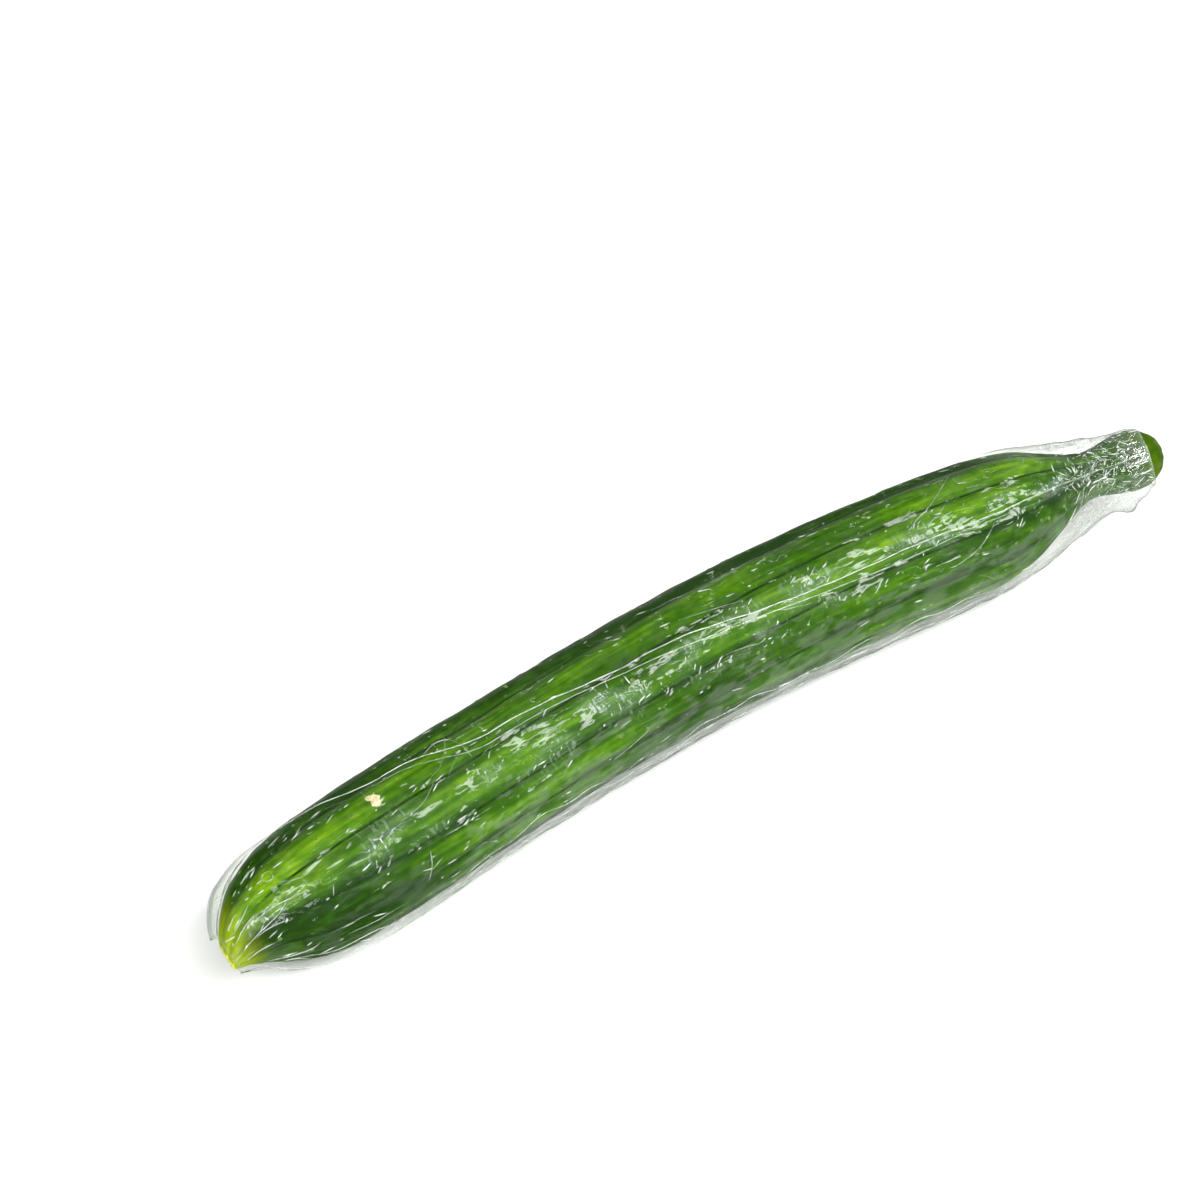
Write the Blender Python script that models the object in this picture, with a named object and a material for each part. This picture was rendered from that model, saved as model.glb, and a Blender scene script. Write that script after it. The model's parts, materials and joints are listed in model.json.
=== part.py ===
"""A long cucumber in clear shrink wrap, lying on its side. Metres, +Z up.

The fruit is one grown piece: lobed body, neck, knob and the scars at its two ends. The film is
one shrunk sleeve round it, open at both ends, taut over the lobes, bridging the neck and slack
low on one side. +X runs from the blossom end to the stem end, and the origin is at the middle
of the base of the bounding box.
"""

import math

import bmesh
import bpy
from mathutils import Vector, noise

# Driving dimensions of the fruit
LENGTH = 0.327
HALF_BEND = 0.2024
HEIGHT = 0.0198
TIP_HOOK = 0.0039
TIP_HOOK_AT = 0.011
TIP_DROOP = 0.0014
TIP_FACE = 0.60
TIP_FACE_FADE = 0.016
TIP_FACES = math.radians(131)
SWAY = 0.0009
SWAY_POWER = 0.75
NECK_RISE = 0.0031
NECK_SWING = 0.0014

# Outline of the fruit: distance along the curved axis from the blossom tip, and radius there
BLOSSOM_END = ((0.0007, 0.0), (0.0003, 0.0013), (0.0, 0.0024), (0.0006, 0.0036), (0.0024, 0.0053),
               (0.0054, 0.0077), (0.0100, 0.0107), (0.0180, 0.0149), (0.0283, 0.0177))
BODY = ((0.041, 0.0191), (0.062, 0.0195), (0.090, 0.0193), (0.120, 0.0192), (0.150, 0.0195),
        (0.180, 0.0198), (0.203, 0.0198), (0.225, 0.0197), (0.243, 0.0197), (0.256, 0.0195))
NECK = ((0.267, 0.0188), (0.277, 0.0169), (0.285, 0.0140), (0.291, 0.0112), (0.2965, 0.0086),
        (0.301, 0.0073), (0.3055, 0.0073), (0.310, 0.0082))
KNOB = ((0.3145, 0.0090), (0.3185, 0.0091), (0.3222, 0.0082), (0.3250, 0.0064), (0.3267, 0.0042),
        (0.3270, 0.0026), (0.3266, 0.0015), (0.3262, 0.0))

# The film leaves the fruit before the neck and meets it again on the knob
BRIDGE = ((0.267, 0.0189), (0.2775, 0.0171), (0.287, 0.0145), (0.296, 0.0120), (0.305, 0.0101),
          (0.3115, 0.0093))

# Lobes and low relief of the fruit
LOBES = 10
GROOVE_DEPTH = 0.0013
GROOVE_SHARE = 0.10
GROOVE_POWER = 2.0
NECK_GROOVES = 0.5
LOBE_WANDER = 0.10
LOBE_TWIST = 0.16
BUMP_RELIEF = 0.0006
BUMP_CELL = 0.011

# Film
FILM_WALL = 0.0006
FILM_GAP = 0.0004
FLOOR_GAP = 0.00035
BLOSSOM_HOLE = 0.0048
STEM_HOLE = 0.3246
STEM_HOLE_SLANT = 0.0026
STEM_HOLE_FACES = math.radians(131)
SLACK = 0.0010
SLACK_ANGLE = math.radians(226)
SLACK_WIDTH = math.radians(33)
SLACK_WAVE = 0.105
NECK_SLACK = 0.0014
NECK_SLACK_AT = 0.290
NECK_SLACK_LENGTH = 0.020
GROOVE_FOLLOW = 0.5

# The film's lengthwise seam, its loose tail at the blossom end and the gathered tag at the neck
SEAM_PATH = ((0.0, 50), (0.037, 62), (0.058, 79), (0.089, 99), (0.138, 110), (0.202, 128),
             (0.255, 129), (0.327, 133))
SEAM_HEIGHT = 0.0004
TAIL_HEIGHT = 0.0040
TAIL_LENGTH = 0.020
TAIL_PEAK = 0.0040
TAG_HEIGHT = 0.0026
TAG_AT = 0.3125
TAG_LENGTH = 0.0042
TAG_ANGLE = math.radians(222)
TAG_WIDTH = math.radians(17)

# Fineness
FRUIT_AROUND = 66
FRUIT_RINGS = 56
FILM_AROUND = 54
FILM_RINGS = 34
CURVE_STEPS = 12
RING_BASE = 0.0009
RING_SHARE = 0.29


def smooth_step(low, high, value):
    share = min(max((value - low) / (high - low), 0.0), 1.0)
    return share * share * (3.0 - 2.0 * share)


def bell(offset, width):
    return math.exp(-(offset / width) ** 2)


def turn(angle, around):
    """The angle from around, between minus and plus half a turn."""
    return (angle - around + math.pi) % math.tau - math.pi


def smooth_outline(points):
    """A Catmull-Rom curve through the outline's points, as closely spaced points."""
    points = [Vector(p) for p in points]
    ends = [2 * points[0] - points[1], *points, 2 * points[-1] - points[-2]]
    curve = []
    for a, b, c, d in zip(ends, ends[1:], ends[2:], ends[3:]):
        for step in range(CURVE_STEPS):
            t = step / CURVE_STEPS
            curve.append(0.5 * (2 * b + (c - a) * t + (2 * a - 5 * b + 4 * c - d) * t * t
                                + (3 * b - a - 3 * c + d) * t ** 3))
    return curve + [points[-1]]


class Outline:
    """A smooth outline, read by the share of its rings, which lie closer where it is slim."""

    def __init__(self, points):
        self.points = smooth_outline(points)
        self.rings = [0.0]
        for here, there in zip(self.points, self.points[1:]):
            spacing = RING_BASE + RING_SHARE * max(0.5 * (here.y + there.y), 0.0)
            self.rings.append(self.rings[-1] + (there - here).length / spacing)
        self.first = 0.0
        self.last = self.rings[-1]

    def ring_of(self, test):
        """The ring number of the first point that passes the test."""
        return next(ring for ring, point in zip(self.rings, self.points) if test(point))

    def at(self, share):
        """Point and outward normal of the outline at this share of its rings."""
        ring = self.first + share * (self.last - self.first)
        i = next((n for n in range(1, len(self.rings) - 1) if self.rings[n] >= ring),
                 len(self.rings) - 1)
        step = self.rings[i] - self.rings[i - 1]
        along = self.points[i] - self.points[i - 1]
        point = self.points[i - 1] + along * ((ring - self.rings[i - 1]) / step)
        return point, Vector((-along.y, along.x)).normalized()


def place(distance, radius, angle):
    """The point at this angle round the curved axis: 0 is across to +Y and a quarter turn is up.
    The blossom end is cut at a slant, so that its face looks away from TIP_FACES."""
    slant = TIP_FACE * radius * math.cos(angle - TIP_FACES)
    distance -= slant * (1.0 - smooth_step(0.0, TIP_FACE_FADE, distance))
    bend_radius = LENGTH / (2 * HALF_BEND)
    bend = (distance / LENGTH - 0.5) * 2 * HALF_BEND
    reach = bend_radius + radius * math.cos(angle)
    hook = distance / TIP_HOOK_AT
    swing = TIP_HOOK * hook * math.exp(1.0 - hook) + NECK_SWING * smooth_step(0.245, 0.325, distance)
    swing -= SWAY * math.sin(math.tau * max(distance / LENGTH, 0.0) ** SWAY_POWER)
    rise = NECK_RISE * smooth_step(0.260, 0.303, distance)
    rise -= TIP_DROOP * (1.0 - smooth_step(0.0, 0.055, distance))
    return Vector((reach * math.sin(bend), reach * math.cos(bend) - bend_radius + swing,
                   HEIGHT + rise + radius * math.sin(angle)))


def groove(distance, angle):
    """0 on the crest of a lobe and 1 in the groove between two."""
    lean = LOBE_TWIST * distance / LENGTH + 0.05 * math.sin(distance / 0.031 + 1.0)
    uneven = LOBE_WANDER * (math.sin(2 * angle + 0.7) + 0.6 * math.sin(3 * angle + 2.1))
    wave = 0.5 + 0.5 * math.cos(LOBES * (angle + lean + uneven))
    return wave ** GROOVE_POWER


def groove_depth(distance, radius, angle):
    """How far the skin lies below the fruit's outline in its grooves."""
    depth = min(GROOVE_DEPTH, GROOVE_SHARE * radius)
    depth *= 1.0 - NECK_GROOVES * smooth_step(0.279, 0.297, distance)
    uneven = 0.8 + 0.2 * math.sin(3 * angle + distance / 0.019)
    return depth * uneven * groove(distance, angle)


def fruit_relief(distance, radius, angle):
    """How far the fruit's skin lies below its outline, low bumps and all."""
    bumps = noise.noise(place(distance, radius, angle) / BUMP_CELL)
    bumps = BUMP_RELIEF * (0.5 - 0.5 * bumps) * min(1.0, radius / 0.012)
    return groove_depth(distance, radius, angle) + bumps


def seam_angle(distance):
    """The angle of the film's seam, eased between the points of its path."""
    at, angle = SEAM_PATH[0]
    for next_at, next_angle in SEAM_PATH[1:]:
        angle += (next_angle - angle) * smooth_step(at, next_at, distance)
        at = next_at
    return math.radians(angle)


def film_slack(distance, radius, angle):
    """How far the film stands off the outline: out in its slack low on the -Y side, and in where
    it sinks part of the way into the grooves."""
    wave = 1.0 + 0.35 * math.sin(distance * math.tau / SLACK_WAVE + 0.4)
    along = SLACK * wave * smooth_step(0.002, 0.022, distance)
    along += NECK_SLACK * bell(distance - NECK_SLACK_AT, NECK_SLACK_LENGTH)
    along *= 1.0 - smooth_step(0.316, 0.324, distance)
    pocket = bell(turn(angle, SLACK_ANGLE), SLACK_WIDTH)
    sink = GROOVE_FOLLOW * (1.0 - pocket) * groove_depth(distance, radius, angle)
    return along * pocket - sink


def film_folds(distance, angle):
    """What stands out of the film alone: its seam, the seam's loose tail and the gathered tag."""
    tail = TAIL_HEIGHT * bell(distance - TAIL_PEAK, TAIL_LENGTH if distance > TAIL_PEAK else 0.006)
    across = turn(angle, seam_angle(distance))
    seam = (SEAM_HEIGHT + tail) * bell(across, math.tau / FILM_AROUND / 2)
    seam *= 1.0 - smooth_step(0.315, 0.323, distance)
    tag = bell(distance - TAG_AT, TAG_LENGTH) * bell(turn(angle, TAG_ANGLE), TAG_WIDTH)
    return seam + TAG_HEIGHT * tag


def lay_down(point, least_height):
    point.z = max(point.z, least_height)
    return point


def make_fruit():
    """A UV sphere stretched along the curved axis, with its lobes and low bumps."""
    outline = Outline(BLOSSOM_END + BODY + NECK + KNOB)
    mesh = bmesh.new()
    bmesh.ops.create_uvsphere(mesh, u_segments=FRUIT_AROUND, v_segments=FRUIT_RINGS, radius=1.0)
    for vertex in mesh.verts:
        share = 1.0 - math.acos(max(-1.0, min(1.0, vertex.co.z))) / math.pi
        angle = math.atan2(vertex.co.y, vertex.co.x)
        point, outward = outline.at(share)
        distance, radius = point - outward * fruit_relief(point.x, point.y, angle)
        radius = radius if 0.0 < share < 1.0 else 0.0
        vertex.co = lay_down(place(distance, max(radius, 0.0), angle), FILM_WALL + FLOOR_GAP)
    return mesh_object("fruit", mesh)


def make_film():
    """A torus whose tube is pressed flat into the film's wall, from one end hole to the other."""
    outline = Outline(BLOSSOM_END + BODY + BRIDGE + KNOB)
    outline.first = outline.ring_of(lambda point: point.y >= BLOSSOM_HOLE and point.x < 0.01)
    outline.last = outline.ring_of(lambda point: point.x >= STEM_HOLE)
    slant = outline.last - outline.ring_of(lambda p: p.x >= STEM_HOLE - 2 * STEM_HOLE_SLANT)
    bpy.ops.mesh.primitive_torus_add(major_segments=FILM_AROUND, minor_segments=2 * FILM_RINGS,
                                     major_radius=1.0, minor_radius=0.5)
    torus = bpy.context.object
    mesh = bmesh.new()
    mesh.from_mesh(torus.data)
    bpy.data.objects.remove(torus)
    for vertex in mesh.verts:
        tube = math.atan2(vertex.co.z, math.hypot(vertex.co.x, vertex.co.y) - 1.0)
        ring = round((tube / math.pi + 0.5) * FILM_RINGS - 0.25) % (2 * FILM_RINGS)
        outer = ring < FILM_RINGS
        share = (ring if outer else 2 * FILM_RINGS - 1 - ring) / (FILM_RINGS - 1)
        point, outward = outline.at(share)
        angle = math.atan2(vertex.co.y, vertex.co.x) + seam_angle(point.x)
        trim = 0.5 + 0.5 * math.cos(angle - STEM_HOLE_FACES)
        trim *= slant / (outline.last - outline.first) * smooth_step(0.85, 1.0, share)
        point, outward = outline.at(share - trim)
        off = FILM_GAP + film_slack(point.x, point.y, angle)
        if outer:
            off += FILM_WALL + film_folds(point.x, angle)
        distance, radius = point + outward * off
        vertex.co = lay_down(place(distance, radius, angle), 0.0 if outer else FILM_WALL)
    return mesh_object("shrink_wrap", mesh)


def mesh_object(name, mesh):
    """An object of this mesh, shaded smooth, in the cucumber's collection."""
    data = bpy.data.meshes.new(name)
    mesh.to_mesh(data)
    mesh.free()
    data.shade_smooth()
    made = bpy.data.objects.new(name, data)
    bpy.data.collections["cucumber"].objects.link(made)
    return made


def paint(made, colour, roughness, alpha=1.0):
    material = bpy.data.materials.new(made.name)
    material.use_nodes = True
    shader = material.node_tree.nodes["Principled BSDF"]
    shader.inputs["Base Color"].default_value = (*colour, 1.0)
    shader.inputs["Roughness"].default_value = roughness
    shader.inputs["Metallic"].default_value = 0.0
    shader.inputs["Alpha"].default_value = alpha
    made.data.materials.append(material)


def centre_on_base(objects):
    """Moves the vertices so that the origin is the middle of the base of their common box."""
    points = [vertex.co for made in objects for vertex in made.data.vertices]
    low = Vector([min(point[axis] for point in points) for axis in range(3)])
    high = Vector([max(point[axis] for point in points) for axis in range(3)])
    middle = Vector(((low.x + high.x) / 2, (low.y + high.y) / 2, low.z))
    for point in points:
        point -= middle


def main():
    for old in list(bpy.data.objects):
        bpy.data.objects.remove(old)
    bpy.context.scene.collection.children.link(bpy.data.collections.new("cucumber"))
    fruit = make_fruit()
    paint(fruit, (0.055, 0.19, 0.018), 0.42)
    film = make_film()
    paint(film, (0.86, 0.90, 0.88), 0.12, alpha=0.25)
    centre_on_base([fruit, film])


main()
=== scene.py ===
"""The looks of a long cucumber in clear shrink wrap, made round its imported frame. Metres, +Z up.

The fruit's skin, its pores and scars, the film with its seam, tail and creases, and a plain
studio. Every shape follows the frame's own formulas, only finer.
"""

import json
import math

import bmesh
import bpy
import numpy as np
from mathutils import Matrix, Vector, noise

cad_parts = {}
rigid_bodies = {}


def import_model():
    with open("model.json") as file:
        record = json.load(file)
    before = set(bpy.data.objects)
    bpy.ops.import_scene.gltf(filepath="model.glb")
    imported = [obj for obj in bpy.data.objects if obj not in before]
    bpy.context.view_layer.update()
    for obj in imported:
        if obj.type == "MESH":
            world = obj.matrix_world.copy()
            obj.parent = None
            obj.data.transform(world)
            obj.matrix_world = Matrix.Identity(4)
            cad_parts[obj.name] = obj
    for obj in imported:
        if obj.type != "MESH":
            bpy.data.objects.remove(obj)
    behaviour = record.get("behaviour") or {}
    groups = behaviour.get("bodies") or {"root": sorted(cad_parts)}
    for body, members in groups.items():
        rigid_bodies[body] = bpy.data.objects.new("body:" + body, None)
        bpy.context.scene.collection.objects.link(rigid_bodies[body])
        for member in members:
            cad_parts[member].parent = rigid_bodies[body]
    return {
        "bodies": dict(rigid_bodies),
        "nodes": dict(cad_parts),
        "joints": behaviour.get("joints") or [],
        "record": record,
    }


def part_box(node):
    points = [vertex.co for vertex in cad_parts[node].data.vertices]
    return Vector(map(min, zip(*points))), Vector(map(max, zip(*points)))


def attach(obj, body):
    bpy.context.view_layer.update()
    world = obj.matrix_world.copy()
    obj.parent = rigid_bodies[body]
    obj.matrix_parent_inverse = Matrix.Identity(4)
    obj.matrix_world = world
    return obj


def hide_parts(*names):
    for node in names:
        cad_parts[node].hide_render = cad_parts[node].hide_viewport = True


bl_info = {
    "name": "Cucumber in shrink wrap",
    "version": (1, 0, 0),
    "blender": (4, 5, 0),
    "location": "View3D > Sidebar > Cucumber",
    "description": "Makes the skin, film and studio of a long cucumber in clear shrink wrap",
    "category": "Add Mesh",
}

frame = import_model()

# Driving dimensions of the fruit, as in the frame
LENGTH = 0.327
HALF_BEND = 0.2024
HEIGHT = 0.0198
TIP_HOOK = 0.0039
TIP_HOOK_AT = 0.011
TIP_DROOP = 0.0014
TIP_FACE = 0.60
TIP_FACE_FADE = 0.016
TIP_FACES = math.radians(131)
SWAY = 0.0009
SWAY_POWER = 0.75
NECK_RISE = 0.0031
NECK_SWING = 0.0014

# Outline of the fruit: distance along the curved axis from the blossom tip, and radius there
BLOSSOM_END = ((0.0007, 0.0), (0.0003, 0.0013), (0.0, 0.0024), (0.0006, 0.0036), (0.0024, 0.0053),
               (0.0054, 0.0077), (0.0100, 0.0107), (0.0180, 0.0149), (0.0283, 0.0177))
BODY = ((0.041, 0.0191), (0.062, 0.0195), (0.090, 0.0193), (0.120, 0.0192), (0.150, 0.0195),
        (0.180, 0.0198), (0.203, 0.0198), (0.225, 0.0197), (0.243, 0.0197), (0.256, 0.0195))
NECK = ((0.267, 0.0188), (0.277, 0.0169), (0.285, 0.0140), (0.291, 0.0112), (0.2965, 0.0086),
        (0.301, 0.0073), (0.3055, 0.0073), (0.310, 0.0082))
KNOB = ((0.3145, 0.0090), (0.3185, 0.0091), (0.3222, 0.0082), (0.3250, 0.0064), (0.3267, 0.0042),
        (0.3270, 0.0026), (0.3266, 0.0015), (0.3262, 0.0))

# The film leaves the fruit before the neck and meets it again on the knob
BRIDGE = ((0.267, 0.0189), (0.2775, 0.0171), (0.287, 0.0145), (0.296, 0.0120), (0.305, 0.0101),
          (0.3115, 0.0093))
FRUIT_OUTLINE = BLOSSOM_END + BODY + NECK + KNOB
FILM_OUTLINE = BLOSSOM_END + BODY + BRIDGE + KNOB

# Lobes and low relief of the fruit
LOBES = 10
GROOVE_DEPTH = 0.0013
GROOVE_SHARE = 0.10
GROOVE_POWER = 2.0
NECK_GROOVES = 0.5
LOBE_WANDER = 0.10
LOBE_TWIST = 0.16
BUMP_RELIEF = 0.0006
BUMP_CELL = 0.011

# Film
FILM_WALL = 0.0006
FILM_GAP = 0.0004
FLOOR_GAP = 0.00035
BLOSSOM_HOLE = 0.0048
STEM_HOLE = 0.3246
STEM_HOLE_SLANT = 0.0026
STEM_HOLE_FACES = math.radians(131)
SLACK = 0.0010
SLACK_ANGLE = math.radians(226)
SLACK_WIDTH = math.radians(33)
SLACK_WAVE = 0.105
NECK_SLACK = 0.0014
NECK_SLACK_AT = 0.290
NECK_SLACK_LENGTH = 0.020
GROOVE_FOLLOW = 0.5
SEAM_PATH = ((0.0, 50), (0.037, 62), (0.058, 79), (0.089, 99), (0.138, 110), (0.202, 128),
             (0.255, 129), (0.327, 133))
TAIL_HEIGHT = 0.0040
TAIL_LENGTH = 0.020
TAIL_PEAK = 0.0040
TAG_HEIGHT = 0.0026
TAG_AT = 0.3125
TAG_LENGTH = 0.0042
TAG_ANGLE = math.radians(222)
TAG_WIDTH = math.radians(17)

# Fineness
CAD_AROUND = 66
CAD_RINGS = 56
SKIN_AROUND = 256
SKIN_RINGS = 340
FILM_AROUND = 176
FILM_RINGS = 268
CURVE_STEPS = 24
FACE_POINTS = 2 * CURVE_STEPS
RING_BASE = 0.0009
RING_SHARE = 0.29

# Fine relief of the skin, and bands of painted shade and painted light round it: middle and width
# in degrees
SKIN_GRAIN = 0.00010
WART_HEIGHT = 0.00022
SHADED_SIDE = (44, 33)
PAINTED_LIGHT_BAND = (98, 13)
PAINTED_DARK_BAND = (149, 16)

# The scar: distance and angle, how deep it is sunk, and its two lobes, each with its offset
# ahead and aside, its length and its width as parts of the scar's size, and its turn in radians
SCAR_PLACE = (0.0515, 93)
SCAR_SUNK = 0.0005
SCAR_LOBES = ((0.04, -0.13, 0.42, 0.25, 0.5), (-0.02, 0.19, 0.30, 0.28, -0.4))

# Thin film of the visible model, with its seam's width, second edge in degrees, and reach
FILM_SHEET = 0.00008
SEAM_WIDTH = math.radians(1.9)
SEAM_OVERLAP = 6
SEAM_REACH = (0.004, 0.318)

# Bands of the film, as middle and width: round it in degrees, and along it in metres
# The sheen and the glints are bands where highlights fall; painted sheen and white creases gather
# in them
SHEEN = (129, 17)
SHEEN_EDGE = (15, 5)
GLINTS = (76, 17)
GATHER = (0.2905, 0.0075)
GATHER_BAND = (129, 50)
KNOB_SHEEN = (0.3160, 0.0055)
KNOB_BAND = (118, 26)

# Where the film changes along the axis: the start and the end of each change
LOOSE_STARTS = (0.030, 0.090)
TIP_PLEATS = (0.004, 0.030)
LOW_TIP = (0.035, 0.085)
BRIDGE_STARTS = (0.262, 0.284)
NECK_WEB = (0.283, 0.299)
KNOB_TAUT = (0.313, 0.321)

# Relief of the film, and how low its folds and creases may lie
CRUMPLE_HEIGHT = 0.00045
RUCK_HEIGHT = 0.00038
PLEATS = 26
PLEAT_HEIGHT = 0.00016
WAVE_HEIGHT = 0.00020
RIPPLE_HEIGHT = 0.00013
TAG_CRUMPLE = 0.0005
THINNEST_GAP = 0.00012
LOWEST_FOLD = 0.0003
LOWEST_CREASE = 0.0012

# A ring-shaped bubble: distance, angle, size and the fruit's radius there
BUBBLE = (0.0172, 93)
BUBBLE_SIZE = 0.0013
BUBBLE_RADIUS = 0.0145

# Folds that stand out, as points of distance and angle with their thickness
FOLD_PATHS = ((((0.2553, 79), (0.2484, 93), (0.2425, 103), (0.2373, 109), (0.2324, 116)), 0.9),
              (((0.0697, 86), (0.0762, 79), (0.0798, 84), (0.0810, 97), (0.0809, 109)), 0.6),
              (((0.0559, 151), (0.0547, 163), (0.0529, 174)), 0.6),
              (((0.0408, 190), (0.0400, 205), (0.0385, 218)), 0.7))

# Long strands low at the front: where each starts, its angle and its thickness
EDGE_STRANDS = ((0.012, 196, 0.6), (0.030, 206, 0.5), (0.055, 189, 0.5), (0.085, 200, 0.7),
                (0.110, 209, 0.5), (0.140, 194, 0.6), (0.165, 204, 0.7), (0.200, 198, 0.6),
                (0.215, 208, 0.5), (0.060, 216, 0.6), (0.135, 217, 0.6), (0.205, 216, 0.6))
STRAND_LENGTH = 0.075

# Strewn folds: first and last start, longest, sway, thickness and the film's radius there
STREWN_FOLDS = ((0.014, 0.275, 0.030, 0.16, 0.30, 0.019), (0.280, 0.314, 0.012, 0.50, 0.40, 0.010),
                (0.014, 0.275, 0.014, 0.30, 0.30, 0.019), (0.004, 0.012, 0.016, 0.06, 0.55, 0.010))
FOLD_STEPS = 12

# Colours of the skin's details
# The dark line along the bottom of each groove is painted shade
PAINTED_GROOVE_SHADE = (0.005, 0.022, 0.001)
RIB_LIME = (0.170, 0.300, 0.005)
TIP_YELLOW = (0.250, 0.330, 0.003)
RIM_YELLOW = (0.60, 0.58, 0.12)
HEART_GREEN = (0.16, 0.20, 0.03)
KNOB_GREENS = ((0.030, 0.078, 0.001), (0.072, 0.130, 0.002))
CUT_EDGE = (0.085, 0.070, 0.012)
CUT_FIBRES = ((0.34, 0.30, 0.13), (0.60, 0.56, 0.32))
MOUND_GREENS = ((0.070, 0.190, 0.010), (0.170, 0.300, 0.030))
PRICK = (0.012, 0.030, 0.004)
CORKS = ((0.62, 0.53, 0.25), (0.86, 0.80, 0.52))
CORK_CRACK = (0.30, 0.24, 0.08)

# Colours of the film's haze: taut, in the sheen as painted sheen, slack, whitened, doubled and seen
# edge-on
MILK = (0.42, 0.56, 0.34)
PAINTED_SHEEN_MILK = (0.66, 0.80, 0.72)
SLACK_MILK = (0.56, 0.61, 0.55)
PALE_MILK = (0.86, 0.94, 0.86)
GREY_MILK = (0.27, 0.29, 0.28)
EDGE_MILK = (0.13, 0.14, 0.13)

# Studio: each light's place, what it is aimed at, and its length and width
KEY_LIGHT = ((0.12, -0.62, 0.92), (0.0, 0.0, 0.02), (1.70, 0.42))
BACK_LIGHT = ((0.50, 0.95, 0.50), (0.0, 0.0, 0.02), (1.10, 0.05))
SIDE_LIGHT = ((-0.90, -0.40, 0.80), (-0.12, -0.06, 0.0), (0.60, 0.60))
CAMERA_PLACE = (-0.4328, -0.5320, 0.6618)
CAMERA_TARGET = (-0.0059, 0.0367, 0.0215)
SENSOR_WIDTH = 36.0
FLOOR_REACH = 3.0
FLOOR_WHITES = ((0.92, 0.92, 0.92), (0.95, 0.95, 0.95))
FLOOR_GLOW = 0.14

SKIN_SLOT, FILM_SLOT = (material["slot"] for material in frame["record"]["materials"])


def smooth_step(low, high, value):
    share = np.clip((value - low) / (high - low), 0.0, 1.0)
    return share * share * (3.0 - 2.0 * share)


def fall(low, high, value):
    return 1.0 - smooth_step(low, high, value)


def bell(offset, width):
    return np.exp(-(offset / width) ** 2)


def turn(angle, around):
    """The angle from around, between minus and plus half a turn."""
    return (angle - around + math.pi) % math.tau - math.pi


def band(angle, middle, width):
    """A bell round the axis, with its middle and width in degrees."""
    return bell(turn(angle, math.radians(middle)), math.radians(width))


def side_of(angle):
    """The angle in degrees, from 0 to 360."""
    return np.degrees(np.mod(angle, math.tau))


def smooth_outline(points):
    """A Catmull-Rom curve through the outline's points, as closely spaced points."""
    points = np.array(points, float)
    ends = np.vstack((2 * points[0] - points[1], points, 2 * points[-1] - points[-2]))
    t = (np.arange(CURVE_STEPS) / CURVE_STEPS)[:, None]
    curve = []
    for a, b, c, d in zip(ends, ends[1:], ends[2:], ends[3:]):
        curve.append(0.5 * (2 * b + (c - a) * t + (2 * a - 5 * b + 4 * c - d) * t * t
                            + (3 * b - a - 3 * c + d) * t ** 3))
    return np.vstack(curve + [points[-1:]])


class Outline:
    """A smooth outline, read by the share of its rings, which lie closer where it is slim."""

    def __init__(self, points):
        self.points = smooth_outline(points)
        along = np.diff(self.points, axis=0)
        length = np.hypot(along[:, 0], along[:, 1])
        radius = np.maximum(0.5 * (self.points[1:, 1] + self.points[:-1, 1]), 0.0)
        self.rings = np.concatenate(([0.0], np.cumsum(length / (RING_BASE + RING_SHARE * radius))))
        across = np.stack((-along[:, 1], along[:, 0]), axis=1) / length[:, None]
        self.across = np.vstack((across[:1], 0.5 * (across[1:] + across[:-1]), across[-1:]))
        self.first = 0.0
        self.last = self.rings[-1]

    def ring_of(self, test):
        """The ring number of the first point that passes the test."""
        return self.rings[np.argmax(test(self.points[:, 0], self.points[:, 1]))]

    def at(self, share):
        """Distance, radius and the outward normal's two parts at these shares of its rings."""
        ring = self.first + share * (self.last - self.first)
        distance, radius, lean, rise = (np.interp(ring, self.rings, column) for column in
                                        (*self.points.T, *self.across.T))
        size = np.hypot(lean, rise)
        return distance, radius, lean / size, rise / size


def place(distance, radius, angle):
    """The points at this angle round the curved axis: 0 is across to +Y and a quarter turn is up.
    The blossom end is cut at a slant, so that its face looks away from TIP_FACES."""
    slant = TIP_FACE * radius * np.cos(angle - TIP_FACES)
    distance = distance - slant * fall(0.0, TIP_FACE_FADE, distance)
    bend_radius = LENGTH / (2 * HALF_BEND)
    bend = (distance / LENGTH - 0.5) * 2 * HALF_BEND
    reach = bend_radius + radius * np.cos(angle)
    hook = distance / TIP_HOOK_AT
    swing = TIP_HOOK * hook * np.exp(1.0 - hook) + NECK_SWING * smooth_step(0.245, 0.325, distance)
    swing -= SWAY * np.sin(math.tau * np.maximum(distance / LENGTH, 0.0) ** SWAY_POWER)
    rise = NECK_RISE * smooth_step(0.260, 0.303, distance)
    rise -= TIP_DROOP * fall(0.0, 0.055, distance)
    return np.stack((reach * np.sin(bend), reach * np.cos(bend) - bend_radius + swing,
                     HEIGHT + rise + radius * np.sin(angle)), axis=-1)


def groove(distance, angle):
    """0 on the crest of a lobe and 1 in the groove between two."""
    lean = LOBE_TWIST * distance / LENGTH + 0.05 * np.sin(distance / 0.031 + 1.0)
    uneven = LOBE_WANDER * (np.sin(2 * angle + 0.7) + 0.6 * np.sin(3 * angle + 2.1))
    return (0.5 + 0.5 * np.cos(LOBES * (angle + lean + uneven))) ** GROOVE_POWER


def groove_depth(distance, radius, angle):
    """How far the skin lies below the fruit's outline in its grooves."""
    depth = np.minimum(GROOVE_DEPTH, GROOVE_SHARE * radius)
    depth = depth * (1.0 - NECK_GROOVES * smooth_step(0.279, 0.297, distance))
    return depth * (0.8 + 0.2 * np.sin(3 * angle + distance / 0.019)) * groove(distance, angle)


def noise_at(points, cell, stretch=1.0):
    """Smooth noise between -1 and 1. Below 1, stretch makes its cells longer along the axis."""
    flat = (points * (stretch, 1.0, 1.0) / cell).reshape(-1, 3).tolist()
    return np.array([noise.noise(point) for point in flat]).reshape(points.shape[:-1])


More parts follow.
